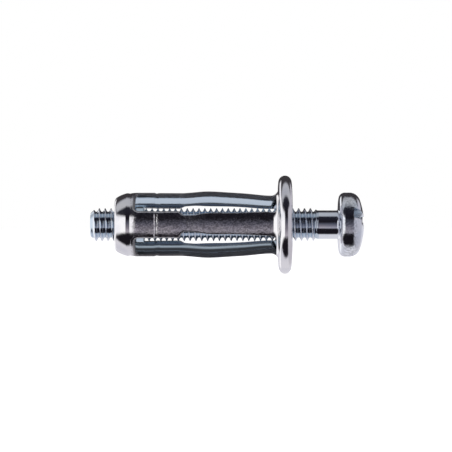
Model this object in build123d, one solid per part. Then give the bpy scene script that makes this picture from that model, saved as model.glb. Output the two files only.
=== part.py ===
from build123d import *

import math
import os

# Expansion wall plug for hollow walls, in millimetres: a deep-drawn sheet-steel sleeve with three
# legs, and the machine screw that is threaded through its end cap.
#
# Frame: the common axis lies along X. The origin is on the axis, in the plane of the flange's
# wall-side face. +X points out of the wall towards the screw head, and +Z is up. One leg faces -Y.

# ---- Sleeve: the sheet and its overall sizes ----
SHEET = 0.6              # thickness of the drawn sheet
SLEEVE_DEPTH = 19.5      # flange's wall-side face to the outside of the end cap
BODY_R = 3.87            # outer radius of the straight stretch by the cap, for an 8 mm hole

# ---- Sleeve: the domed end cap ----
DOME_LENGTH = 2.4        # from the cap's flat face to where the straight stretch begins
DOME_SHOULDER_R = 4.1    # large radius of the dome's flank
DOME_CORNER_R = 0.615    # small radius between the flank and the flat face
CAP_INSIDE_R = 0.3       # the same corner on the inside

# ---- Sleeve: the collar drawn inwards out of the cap, which holds the thread ----
COLLAR_LENGTH = 3.5      # from the cap's outer face inwards
COLLAR_WALL = 0.3        # beyond the thread's outside
COLLAR_MOUTH_R = 0.3     # rounding where the cap's face turns into the collar
COLLAR_ROOT_R = 0.2      # fillet between the collar and the inside of the cap
THREAD_CLEARANCE = 0.03  # radial gap between the screw and the collar

# ---- Sleeve: the legs ----
LEG_COUNT = 3
FRONT_LEG_ANGLE = 180.0  # direction of the first leg about +X, counted from +Y
CREASE_FROM_CAP = 4.9    # the coined line on each leg, from the cap's outer face
SHOULDER_FROM_CAP = 7.6  # where the legs begin to narrow
NECK_FROM_CAP = 8.3      # where the neck, the place that folds, begins
NECK_LENGTH = 0.75
WINDOW_FROM_CAP = 2.45   # end of each window at the cap
WINDOW_FROM_FLANGE = 0.35  # end of each window at the flange
WINDOW_CORNER_R = 0.5
WIDE_HALF_ANGLE = 24.0   # half the angle that a leg takes up beside the cap
NECK_HALF_ANGLE = 16.0   # the same at the neck
NECK_RISE = -0.07        # outer radius at the neck, less the body's
# The stretch that swells and then draws in towards the flange. Each row holds its place as a share
# of the way from the neck's end to the flange's root, its outer radius less the body's, and the
# leg's half angle.
SWELL = [
    (0.15, 0.13, 19.0),
    (0.45, 0.04, 21.0),
    (0.74, -0.16, 24.5),
]
WAIST_RISE = -0.37       # outer radius where the flange's root begins, less the body's
WAIST_HALF_ANGLE = 25.0

# ---- Sleeve: the flange, flared out and hemmed back over itself ----
FLANGE_REACH = 1.995     # how far the flange stands out past the body
FLANGE_ROOT_R = 0.85     # outer radius of the bend from the legs into the flange
HEM_GAP = 0.35           # between the flange's two layers
HEM_EDGE_ROUNDING = 0.25

# ---- Screw ----
THREAD_R = 1.97          # outside radius of the M4 thread
THREAD_PITCH = 0.7
SHANK_SETBACK = 0.27     # how far the plain shank under the head lies inside the thread's outside
SHANK_LENGTH = 2.65      # from the end of the thread to the head's underside
THREAD_RUNOUT = 0.3      # length of the taper from thread to shank
TIP_PROTRUSION = 2.9     # tip beyond the cap
TIP_CHAMFER = 0.6        # length of the tip's chamfer
TIP_SETBACK = 0.59       # how far the tip's flat end lies inside the thread's outside
GRIP_TURNS = 8           # whole turns that bring the head down onto the flange
SEAT_CLEARANCE = 0.05    # what is then left under the head
SEAT_WIDTH = 0.33        # how far the flange's folded-back layer reaches in under the head's flat

# ---- Screw head: a pan head with a slot and a cross ----
HEAD_R = 3.83
HEAD_HEIGHT = 3.0
HEAD_CROWN_R = 9.0
HEAD_TOP_EDGE_R = 1.3
HEAD_LOWER_EDGE_R = 0.5
HEAD_FILLET_R = 0.32     # fillet between the shank and the head
SLOT_WIDTH = 1.2
SLOT_DEPTH = 1.4
SLOT_ANGLE = 158.0       # direction of the slot about +X, counted from +Y
CROSS_WIDTH = 1.1        # width of each wing of the cross
CROSS_DEPTH = 2.1
CROSS_MOUTH_R = 2.15     # reach of the wings at the crown
CROSS_FLOOR_R = 1.0      # reach of the wings at the bottom
CORE_MOUTH_R = 1.18      # radius of the round core where the wings meet, at the crown
CORE_FLOOR_R = 0.55      # the same at the bottom

# ---- Radii that follow from the sizes above ----
NECK_R = BODY_R + NECK_RISE
WAIST_R = BODY_R + WAIST_RISE
COLLAR_BORE_R = THREAD_R + THREAD_CLEARANCE
COLLAR_R = COLLAR_BORE_R + COLLAR_WALL
FLANGE_R = BODY_R + FLANGE_REACH
FLANGE_THICKNESS = 2 * SHEET + HEM_GAP
RIM_R = FLANGE_THICKNESS / 2
HEM_EDGE_R = HEAD_R - HEAD_LOWER_EDGE_R - SEAT_WIDTH
SHANK_R = THREAD_R - SHANK_SETBACK
TIP_R = THREAD_R - TIP_SETBACK

# ---- Places along the axis that follow from the sizes above ----
CAP_X = -SLEEVE_DEPTH
STRAIGHT_X = CAP_X + DOME_LENGTH
CREASE_X = CAP_X + CREASE_FROM_CAP
SHOULDER_X = CAP_X + SHOULDER_FROM_CAP
NECK_X = CAP_X + NECK_FROM_CAP
NECK_END_X = NECK_X + NECK_LENGTH
WAIST_X = -FLANGE_ROOT_R
HEAD_X = FLANGE_THICKNESS + GRIP_TURNS * THREAD_PITCH + SEAT_CLEARANCE
CROWN_X = HEAD_X + HEAD_HEIGHT
TIP_X = CAP_X - TIP_PROTRUSION
FAR = 3 * FLANGE_R       # past anything that is cut


def arc(centre, radius, start, end):
    """Arc about centre from angle start to angle end, in degrees."""
    def point(angle):
        turn = math.radians(angle)
        return (centre[0] + radius * math.cos(turn), centre[1] + radius * math.sin(turn))

    return ThreePointArc(point(start), point((start + end) / 2), point(end))


def joined(points):
    """Straight lines through the points, in order."""
    return [Line(a, b) for a, b in zip(points, points[1:])]


def dome(face_x, outer_r, shoulder_r, corner_r):
    """The dome's line from its flat face to the straight stretch, and the flat face's radius."""
    length = STRAIGHT_X - face_x
    reach = shoulder_r - corner_r
    along = length - corner_r
    rise = math.sqrt(reach**2 - along**2)
    shoulder = (STRAIGHT_X, outer_r - shoulder_r)
    corner = (face_x + corner_r, shoulder[1] + rise)
    knee = 180 - math.degrees(math.atan2(rise, along))
    edges = [arc(corner, corner_r, 180, knee), arc(shoulder, shoulder_r, knee, 90)]
    return edges, corner[1]


def swell_x(share):
    """Place along the axis of one row of SWELL."""
    return NECK_END_X + share * (WAIST_X - NECK_END_X)


def leg_line(depth):
    """The legs' line from the cap to the flange's root, at a depth below the outer surface."""
    points = [(CREASE_X, BODY_R - depth), (NECK_X, NECK_R - depth)]
    points += [(swell_x(share), BODY_R + rise - depth) for share, rise, _ in SWELL]
    points.append((WAIST_X, WAIST_R - depth))
    bend = Spline(points, tangents=[(1, 0), (1, 0)])
    return [Line((STRAIGHT_X, BODY_R - depth), points[0]), bend]


def drawn_shell():
    """The cap, legs and flange before the collar is drawn and the windows pierced."""
    rim = (RIM_R, FLANGE_R - RIM_R)
    root = (WAIST_X, WAIST_R + FLANGE_ROOT_R)
    hem_gap_x = FLANGE_THICKNESS - SHEET
    outer_dome, outer_flat_r = dome(CAP_X, BODY_R, DOME_SHOULDER_R, DOME_CORNER_R)
    inner_face_x = CAP_X + SHEET
    inner_dome, inner_flat_r = dome(
        inner_face_x, BODY_R - SHEET, DOME_SHOULDER_R - SHEET, CAP_INSIDE_R
    )
    # Outside: the cap, the legs' line, the flange and its round rim.
    edges = [Line((CAP_X, 0), (CAP_X, outer_flat_r))]
    edges += outer_dome + leg_line(0)
    edges.append(arc(root, FLANGE_ROOT_R, -90, 0))
    edges.append(Line((0, root[1]), (0, rim[1])))
    edges.append(arc(rim, RIM_R, 180, 0))
    # The layer that is folded back over the room side, as far as its rounded edge.
    edge = (FLANGE_THICKNESS - HEM_EDGE_ROUNDING, HEM_EDGE_R + HEM_EDGE_ROUNDING)
    edges.append(Line((FLANGE_THICKNESS, rim[1]), (FLANGE_THICKNESS, edge[1])))
    edges.append(arc(edge, HEM_EDGE_ROUNDING, 0, -90))
    edges += joined([(edge[0], HEM_EDGE_R), (hem_gap_x, HEM_EDGE_R), (hem_gap_x, rim[1])])
    # Inside: the fold, the bend down into the bore, the legs and the cap.
    edges.append(arc(rim, RIM_R - SHEET, 0, 180))
    edges.append(Line((SHEET, rim[1]), (SHEET, root[1])))
    edges.append(arc(root, FLANGE_ROOT_R + SHEET, 0, -90))
    edges += leg_line(SHEET) + inner_dome
    edges += joined([(inner_face_x, inner_flat_r), (inner_face_x, 0), (CAP_X, 0)])
    return revolve(make_face(edges), Axis.X)


def collar_metal():
    """The collar drawn inwards out of the cap, still solid, with the fillet at its root."""
    base_x = CAP_X + SHEET / 2
    root_x = CAP_X + SHEET
    end_x = CAP_X + COLLAR_LENGTH
    fillet = (root_x + COLLAR_ROOT_R, COLLAR_R + COLLAR_ROOT_R)
    edges = joined([(root_x, fillet[1]), (base_x, fillet[1]), (base_x, 0), (end_x, 0), (end_x, COLLAR_R)])
    edges.append(Line((end_x, COLLAR_R), (fillet[0], COLLAR_R)))
    edges.append(arc(fillet, COLLAR_ROOT_R, 270, 180))
    return revolve(make_face(edges), Axis.X)


def collar_bore():
    """The collar's hole, with its mouth rounded where the cap's face turns inwards."""
    mouth = (CAP_X + COLLAR_MOUTH_R, COLLAR_BORE_R + COLLAR_MOUTH_R)
    outer_x = CAP_X - SHEET
    end_x = CAP_X + COLLAR_LENGTH + SHEET
    edges = [arc(mouth, COLLAR_MOUTH_R, 270, 180)]
    edges += joined([(CAP_X, mouth[1]), (outer_x, mouth[1]), (outer_x, 0), (end_x, 0)])
    edges += joined([(end_x, 0), (end_x, COLLAR_BORE_R), (mouth[0], COLLAR_BORE_R)])
    return revolve(make_face(edges), Axis.X)


def window_half_width(radius, leg_half_angle):
    """Half the width of a window beside legs of this outer radius and half angle."""
    return radius * math.sin(math.radians(180 / LEG_COUNT - leg_half_angle))


def window_cutter():
    """One window's punch, which is straight-sided along +Y and cuts one wall of the sleeve."""
    wide = window_half_width(BODY_R, WIDE_HALF_ANGLE)
    neck = window_half_width(NECK_R, NECK_HALF_ANGLE)
    waist = window_half_width(WAIST_R, WAIST_HALF_ANGLE)
    low = CAP_X + WINDOW_FROM_CAP
    high = -WINDOW_FROM_FLANGE
    taper = [(NECK_END_X, neck)]
    for share, rise, angle in SWELL:
        taper.append((swell_x(share), window_half_width(BODY_R + rise, angle)))
    taper.append((WAIST_X, waist))
    upper = [
        Line((low, 0), (low, wide)),
        Line((low, wide), (SHOULDER_X, wide)),
        Spline([(SHOULDER_X, wide), (NECK_X, neck)], tangents=[(1, 0), (1, 0)]),
        Line((NECK_X, neck), (NECK_END_X, neck)),
        Spline(taper, tangents=[(1, 0), (1, 0)]),
        Line((WAIST_X, waist), (high, waist)),
        Line((high, waist), (high, 0)),
    ]
    lower = [edge.mirror(Plane.XZ) for edge in upper]
    outline = make_face(upper + lower)
    ends = [v for v in outline.vertices() if min(abs(v.X - low), abs(v.X - high)) < WINDOW_CORNER_R / 10]
    corners = [v for v in ends if abs(v.Y) > WINDOW_CORNER_R]
    outline = fillet(corners, WINDOW_CORNER_R)
    return Rot(90, 0, 0) * Pos(0, 0, -FAR) * extrude(outline, FAR)


def make_sleeve():
    """The sleeve: one piece of sheet, drawn, pierced with a window between each pair of legs."""
    sleeve = drawn_shell()
    step = 360 / LEG_COUNT
    for number in range(LEG_COUNT):
        turn = FRONT_LEG_ANGLE + step / 2 + number * step
        sleeve -= Rot(turn, 0, 0) * window_cutter()
    return sleeve + collar_metal() - collar_bore()


def screw_blank():
    """The screw before its recess is struck. The thread's outside is a plain cylinder."""
    thread_end_x = HEAD_X - SHANK_LENGTH
    lower_edge = (HEAD_X + HEAD_LOWER_EDGE_R, HEAD_R - HEAD_LOWER_EDGE_R)
    crown = (CROWN_X - HEAD_CROWN_R, 0)
    top_edge_y = HEAD_R - HEAD_TOP_EDGE_R
    reach = HEAD_CROWN_R - HEAD_TOP_EDGE_R
    top_edge = (crown[0] + math.sqrt(reach**2 - top_edge_y**2), top_edge_y)
    meet = math.degrees(math.asin(top_edge_y / reach))
    neck = (HEAD_X - HEAD_FILLET_R, SHANK_R + HEAD_FILLET_R)
    edges = joined([
        (CROWN_X, 0),
        (TIP_X, 0),
        (TIP_X, TIP_R),
        (TIP_X + TIP_CHAMFER, THREAD_R),
        (thread_end_x, THREAD_R),
        (thread_end_x + THREAD_RUNOUT, SHANK_R),
        (neck[0], SHANK_R),
    ])
    edges.append(arc(neck, HEAD_FILLET_R, -90, 0))
    edges.append(Line((HEAD_X, neck[1]), (HEAD_X, lower_edge[1])))
    edges.append(arc(lower_edge, HEAD_LOWER_EDGE_R, 180, 90))
    edges.append(Line((lower_edge[0], HEAD_R), (top_edge[0], HEAD_R)))
    edges.append(arc(top_edge, HEAD_TOP_EDGE_R, 90, meet))
    edges.append(arc(crown, HEAD_CROWN_R, meet, 0))
    return revolve(make_face(edges), Axis.X)


def recess_cone(mouth_r, floor_r):
    """A cone that narrows into the head from its crown, down to the cross's bottom."""
    widening = (mouth_r - floor_r) / CROSS_DEPTH
    floor_x = CROWN_X - CROSS_DEPTH
    clear_x = CROWN_X + HEAD_HEIGHT
    outline = Polyline(
        (floor_x - floor_r / 2, 0),
        (floor_x, floor_r),
        (clear_x, mouth_r + widening * HEAD_HEIGHT),
        (clear_x, 0),
        close=True,
    )
    return revolve(make_face(outline), Axis.X)


def driver_recess():
    """The slot right across the head, and the cross whose wings run along it and square to it."""
    slot_box = Box(HEAD_HEIGHT, FAR, SLOT_WIDTH)
    slot = Pos(CROWN_X - SLOT_DEPTH + HEAD_HEIGHT / 2, 0, 0) * slot_box
    wing = Pos(CROWN_X, 0, 0) * Box(4 * HEAD_HEIGHT, FAR, CROSS_WIDTH)
    wings = (wing + Rot(90, 0, 0) * wing) & recess_cone(CROSS_MOUTH_R, CROSS_FLOOR_R)
    core = recess_cone(CORE_MOUTH_R, CORE_FLOOR_R)
    return Rot(SLOT_ANGLE, 0, 0) * (slot + wings + core)


def make_screw():
    """The screw: one piece, with its head, shank and thread."""
    return screw_blank() - driver_recess()


PARTS = {"sleeve": make_sleeve, "screw": make_screw}

os.makedirs("parts", exist_ok=True)
for node, make in PARTS.items():
    part = make()
    part.label = node
    export_step(part, f"parts/{node}.step")
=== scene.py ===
"""Looks of an expansion wall plug: its pierced sheet-steel sleeve, its machine screw and a small studio."""

from __future__ import annotations

import logging
import math
from dataclasses import dataclass, field
from enum import Enum

import bmesh
import bpy
import numpy as np
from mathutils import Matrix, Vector

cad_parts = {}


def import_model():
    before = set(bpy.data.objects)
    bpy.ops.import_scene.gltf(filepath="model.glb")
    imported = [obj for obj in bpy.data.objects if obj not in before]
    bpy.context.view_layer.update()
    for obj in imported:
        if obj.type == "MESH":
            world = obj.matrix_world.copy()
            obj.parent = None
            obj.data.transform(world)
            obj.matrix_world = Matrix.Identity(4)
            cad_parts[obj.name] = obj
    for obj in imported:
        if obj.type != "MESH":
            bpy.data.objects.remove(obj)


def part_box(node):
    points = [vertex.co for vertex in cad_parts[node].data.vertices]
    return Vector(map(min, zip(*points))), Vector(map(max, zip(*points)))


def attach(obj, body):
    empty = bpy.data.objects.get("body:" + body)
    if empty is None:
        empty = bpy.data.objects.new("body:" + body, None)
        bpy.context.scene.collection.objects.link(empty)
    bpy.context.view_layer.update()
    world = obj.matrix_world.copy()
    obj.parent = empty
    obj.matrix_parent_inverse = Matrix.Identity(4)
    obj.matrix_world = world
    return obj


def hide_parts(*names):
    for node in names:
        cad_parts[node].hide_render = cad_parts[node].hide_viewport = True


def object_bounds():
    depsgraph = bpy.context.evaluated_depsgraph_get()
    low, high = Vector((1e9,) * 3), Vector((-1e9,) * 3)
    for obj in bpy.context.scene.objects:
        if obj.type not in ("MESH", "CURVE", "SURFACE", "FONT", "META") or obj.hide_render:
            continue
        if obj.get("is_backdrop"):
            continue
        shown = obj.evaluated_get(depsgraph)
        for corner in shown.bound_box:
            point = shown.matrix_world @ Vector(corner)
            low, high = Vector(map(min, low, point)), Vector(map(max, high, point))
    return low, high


MM = 0.001
KIND_LAYER = "surface_kind"
# Angles go about the plug's axis from +Y towards +Z, in degrees.
FRONT_ANGLE = 180.0
LOG = logging.getLogger("wall_plug")

Point = tuple[float, float]


class Surface(Enum):
    """Kinds of surface, stored on a piece's points as shares of torn edge, grain and hollow; on the rolled
    window edges the torn-edge share is painted shade.
    """

    PLAIN = (0.0, 0.0, 0.0)
    PIERCED = (1.0, 0.0, 0.0)
    GRAINY = (0.0, 1.0, 0.0)
    HOLLOW = (0.0, 0.0, 1.0)


def surface_mix(first: Surface, second: Surface, share: np.ndarray) -> np.ndarray:
    """Shares of the second kind of surface over the first, from point to point."""
    weight = np.asarray(share)[..., None]
    return np.array(first.value) * (1 - weight) + np.array(second.value) * weight


# ---------------------------------------------------------------------------------------------
# Outlines
# ---------------------------------------------------------------------------------------------


def arc_points(centre: Point, radius: float, start: float, end: float, count: int) -> list[Point]:
    """Points along an arc.

    Args:
        centre: Centre of the arc.
        radius: Radius of the arc.
        start: First angle, in degrees.
        end: Last angle, in degrees.
        count: Number of steps.

    Returns:
        The points, both ends included.
    """
    turns = np.radians(np.linspace(start, end, count + 1))
    return [(centre[0] + radius * math.cos(t), centre[1] + radius * math.sin(t)) for t in turns]


def line_points(start: Point, end: Point, count: int) -> list[Point]:
    """Points along a straight line.

    Args:
        start: First point.
        end: Last point.
        count: Number of steps.

    Returns:
        The points, both ends included.
    """
    shares = np.linspace(0, 1, count + 1)
    return [(start[0] + (end[0] - start[0]) * s, start[1] + (end[1] - start[1]) * s) for s in shares]


def chain(*runs: list[Point]) -> list[Point]:
    """Joins runs of points end to end, and drops the doubled point where two of them meet."""
    joined: list[Point] = list(runs[0])
    for run in runs[1:]:
        joined += run[1:]
    return joined


def smooth_step(value: np.ndarray | float, low: float, high: float) -> np.ndarray | float:
    """A smooth rise from 0 at low to 1 at high."""
    share = np.clip((value - low) / (high - low), 0.0, 1.0)
    return share * share * (3 - 2 * share)


def eased_step(value: np.ndarray | float, low: float, high: float) -> np.ndarray | float:
    """A straight rise from 0 at low to 1 at high, with its corners a little eased."""
    share = np.clip((value - low) / (high - low), 0.0, 1.0)
    return 0.6 * share + 0.4 * share * share * (3 - 2 * share)


@dataclass(frozen=True)
class SmoothCurve:
    """A curve through a few knots, level at both ends, with no jump in its bend.

    Args:
        knots: Places along the axis, rising.
        values: The value at each knot.
    """

    knots: tuple[float, ...]
    values: tuple[float, ...]

    def slopes(self) -> np.ndarray:
        """The curve's slope at each knot."""
        x = np.array(self.knots)
        y = np.array(self.values)
        count = len(x)
        steps = np.diff(x)
        matrix = np.eye(count)
        right = np.zeros(count)
        for i in range(1, count - 1):
            matrix[i, i - 1] = 1 / steps[i - 1]
            matrix[i, i] = 2 / steps[i - 1] + 2 / steps[i]
            matrix[i, i + 1] = 1 / steps[i]
            before = (y[i] - y[i - 1]) / steps[i - 1] ** 2
            after = (y[i + 1] - y[i]) / steps[i] ** 2
            right[i] = 3 * (before + after)
        return np.linalg.solve(matrix, right)

    def at(self, places: np.ndarray) -> np.ndarray:
        """Values of the curve.

        Args:
            places: Places along the axis; beyond the ends the curve stays level.

        Returns:
            The value at each place.
        """
        x = np.array(self.knots)
        y = np.array(self.values)
        slope = self.slopes()
        inside = np.clip(places, x[0], x[-1])
        i = np.clip(np.searchsorted(x, inside) - 1, 0, len(x) - 2)
        step = x[i + 1] - x[i]
        t = (inside - x[i]) / step
        value = (2 * t**3 - 3 * t**2 + 1) * y[i] + (t**3 - 2 * t**2 + t) * step * slope[i]
        return value + (3 * t**2 - 2 * t**3) * y[i + 1] + (t**3 - t**2) * step * slope[i + 1]


@dataclass
class Meridian:
    """An outline in a plane through the axis, measured by the length along it.

    Args:
        points: The outline's points, as place along the axis and radius.
    """

    points: list[Point]
    table: np.ndarray = field(init=False)
    along: np.ndarray = field(init=False)

    def __post_init__(self) -> None:
        """Measures the outline."""
        self.table = np.array(self.points)
        steps = np.hypot(*np.diff(self.table, axis=0).T)
        self.along = np.concatenate([[0.0], np.cumsum(steps)])

    def length_at(self, x: float) -> float:
        """The length along the outline where it first passes a place on the axis."""
        i = int(np.argmax(self.table[:, 0] >= x))
        x0, x1 = self.table[i - 1, 0], self.table[i, 0]
        share = (x - x0) / (x1 - x0)
        return float(self.along[i - 1] + share * (self.along[i] - self.along[i - 1]))

    def at(self, length: np.ndarray, depth: np.ndarray | float) -> tuple[np.ndarray, np.ndarray]:
        """Points below the outline.

        Args:
            length: Lengths along the outline.
            depth: How deep the points lie below it, square to it.

        Returns:
            Their places along the axis, and their radii.
        """
        x, r = self.sample(length, 0), self.sample(length, 1)
        reach = 0.03
        ahead = np.minimum(length + reach, self.along[-1])
        behind = np.maximum(length - reach, 0.0)
        dx = self.sample(ahead, 0) - self.sample(behind, 0)
        dr = self.sample(ahead, 1) - self.sample(behind, 1)
        size = np.hypot(dx, dr)
        return x + depth * dr / size, r - depth * dx / size

    def sample(self, length: np.ndarray, column: int) -> np.ndarray:
        """Places along the axis (column 0) or radii (column 1) at lengths along the curve."""
        return np.interp(length, self.along, self.table[:, column])


def turned(x: np.ndarray, r: np.ndarray, angle: np.ndarray) -> np.ndarray:
    """Points about the axis.

    Args:
        x: Places along the axis.
        r: Radii.
        angle: Angles about the axis from +Y towards +Z, in degrees.

    Returns:
        The points, with their three coordinates last.
    """
    turn = np.radians(angle)
    shape = np.broadcast_shapes(np.shape(x), np.shape(r), np.shape(angle))
    y, z = (r * part * np.ones(shape) for part in (np.cos(turn), np.sin(turn)))
    return np.stack([np.broadcast_to(x, shape), y, z], axis=-1)


# ---------------------------------------------------------------------------------------------
# Meshes
# ---------------------------------------------------------------------------------------------


@dataclass
class MeshMaker:
    """Gathers grids of points, in millimetres, and makes one welded piece of them.

    Args:
        name: Name of the piece.
    """

    name: str
    points: list[np.ndarray] = field(default_factory=list)
    marks: list[np.ndarray] = field(default_factory=list)
    faces: list[tuple[int, ...]] = field(default_factory=list)
    count: int = 0

    def grid(
        self, points: np.ndarray, mark: np.ndarray | Surface = Surface.PLAIN, loop: bool = False
    ) -> None:
        """Adds a grid of quads.

        Args:
            points: Rows of points, with three coordinates each.
            mark: Shares of the kinds of surface at each point, or one kind for all.
            loop: Whether the last column joins the first.
        """
        rows, columns = points.shape[:2]
        self.points.append(points.reshape(-1, 3))
        kinds = np.array(mark.value) if isinstance(mark, Surface) else mark
        self.marks.append(np.broadcast_to(kinds, (rows, columns, 3)).reshape(-1, 3))
        across = columns if loop else columns - 1
        for i in range(rows - 1):
            for j in range(across):
                k = (j + 1) % columns
                low = self.count + i * columns
                high = low + columns
                self.faces.append((low + j, low + k, high + k, high + j))
        self.count += rows * columns

    def disc(self, ring: np.ndarray, mark: Surface = Surface.PLAIN) -> None:
        """Closes a ring of points with a fan of rings that shrink to its centre.

        Args:
            ring: The ring's points.
            mark: Kind of surface.
        """
        centre = ring.mean(axis=0)
        shares = np.array([1.0, 0.8, 0.55, 0.3, 0.12])[:, None, None]
        rows = centre + (ring - centre)[None] * shares
        self.grid(rows, mark, loop=True)
        self.points.append(centre[None])
        self.marks.append(np.array([mark.value]))
        hub = self.count
        self.count += 1
        size = len(ring)
        last = hub - size
        for j in range(size):
            self.faces.append((last + j, last + (j + 1) % size, hub))

    def make(self, sharp_angle: float) -> bpy.types.Object:
        """Welds the grids into one smooth-shaded piece.

        Args:
            sharp_angle: Edges that turn by more than this, in degrees, stay crisp.

        Returns:
            The new object, in metres.
        """
        weld = 2e-7
        mesh = bpy.data.meshes.new(self.name)
        mesh.from_pydata((np.concatenate(self.points) * MM).tolist(), [], self.faces)
        layer = mesh.attributes.new(KIND_LAYER, "FLOAT_VECTOR", "POINT")
        layer.data.foreach_set("vector", np.concatenate(self.marks).astype(np.float32).reshape(-1))
        shape = bmesh.new()
        shape.from_mesh(mesh)
        bmesh.ops.remove_doubles(shape, verts=shape.verts, dist=weld)
        bmesh.ops.dissolve_degenerate(shape, edges=shape.edges, dist=weld)
        bmesh.ops.recalc_face_normals(shape, faces=shape.faces)
        crisp = math.radians(sharp_angle)
        for edge in shape.edges:
            edge.smooth = len(edge.link_faces) != 2 or edge.calc_face_angle(0.0) < crisp
        for face in shape.faces:
            face.smooth = True
        open_edges = sum(1 for edge in shape.edges if len(edge.link_faces) != 2)
        shape.to_mesh(mesh)
        shape.free()
        piece = bpy.data.objects.new(self.name, mesh)
        bpy.context.scene.collection.objects.link(piece)
        LOG.info("%s: %d faces, %d open edges", self.name, len(mesh.polygons), open_edges)
        return piece


# ---------------------------------------------------------------------------------------------
# Finishes
# ---------------------------------------------------------------------------------------------


@dataclass
class NodeBoard:
    """Short calls for building a material's nodes.

    Args:
        name: Name of the material.
    """

    name: str
    material: bpy.types.Material = field(init=False)

    def __post_init__(self) -> None:
        """Makes an empty material."""
        self.material = bpy.data.materials.new(self.name)
        self.material.use_nodes = True
        self.material.node_tree.nodes.clear()

    def node(self, kind: str, **values: object) -> bpy.types.Node:
        """Adds a node.

        Args:
            kind: The node's type.
            **values: Its properties by name.

        Returns:
            The node.
        """
        made = self.material.node_tree.nodes.new(kind)
        for key, value in values.items():
            setattr(made, key, value)
        return made

    def link(self, source: bpy.types.NodeSocket, target: bpy.types.NodeSocket) -> None:
        """Links two sockets."""
        self.material.node_tree.links.new(source, target)

    def math(self, operation: str, first: object, second: object) -> bpy.types.NodeSocket:
        """Adds a sum, product or the like of two values or sockets, and returns its result."""
        made = self.node("ShaderNodeMath", operation=operation)
        for socket, value in zip(made.inputs, (first, second)):
            if isinstance(value, bpy.types.NodeSocket):
                self.link(value, socket)
            else:
                socket.default_value = value
        return made.outputs[0]

    def noise(self, where: bpy.types.NodeSocket, scale: float, detail: float) -> bpy.types.NodeSocket:
        """Adds noise over a position, with its features per metre, and returns its value."""
        made = self.node("ShaderNodeTexNoise")
        made.inputs["Scale"].default_value = scale
        made.inputs["Detail"].default_value = detail
        self.link(where, made.inputs["Vector"])
        return made.outputs["Fac"]

    def ramp(self, value: bpy.types.NodeSocket, stops: list[tuple[float, float]]) -> bpy.types.NodeSocket:
        """Adds a grey ramp through (place, brightness) stops and returns its colour."""
        made = self.node("ShaderNodeValToRGB")
        elements = made.color_ramp.elements
        while len(elements) < len(stops):
            elements.new(0.5)
        for element, (place, grey) in zip(elements, stops):
            element.position = place
            element.color = (grey, grey, grey, 1.0)
        self.link(value, made.inputs["Fac"])
        return made.outputs["Color"]

    def product(self, first: object, second: object) -> bpy.types.NodeSocket:
        """Adds a product and returns it."""
        return self.math("MULTIPLY", first, second)

    def total(self, first: object, second: object) -> bpy.types.NodeSocket:
        """Adds a sum and returns it."""
        return self.math("ADD", first, second)

    def remainder(self, share: object) -> bpy.types.NodeSocket:
        """Adds what a share leaves of 1, and returns it."""
        return self.math("SUBTRACT", 1.0, share)

    def blend(self, share: object, first: object, second: object) -> bpy.types.NodeSocket:
        """Adds a colour mix by a share, and returns its colour."""
        made = self.node("ShaderNodeMix", data_type="RGBA")
        for socket, value in zip((made.inputs[0], made.inputs[6], made.inputs[7]), (share, first, second)):
            if isinstance(value, bpy.types.NodeSocket):
                self.link(value, socket)
            else:
                socket.default_value = value
        return made.outputs[2]


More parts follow.
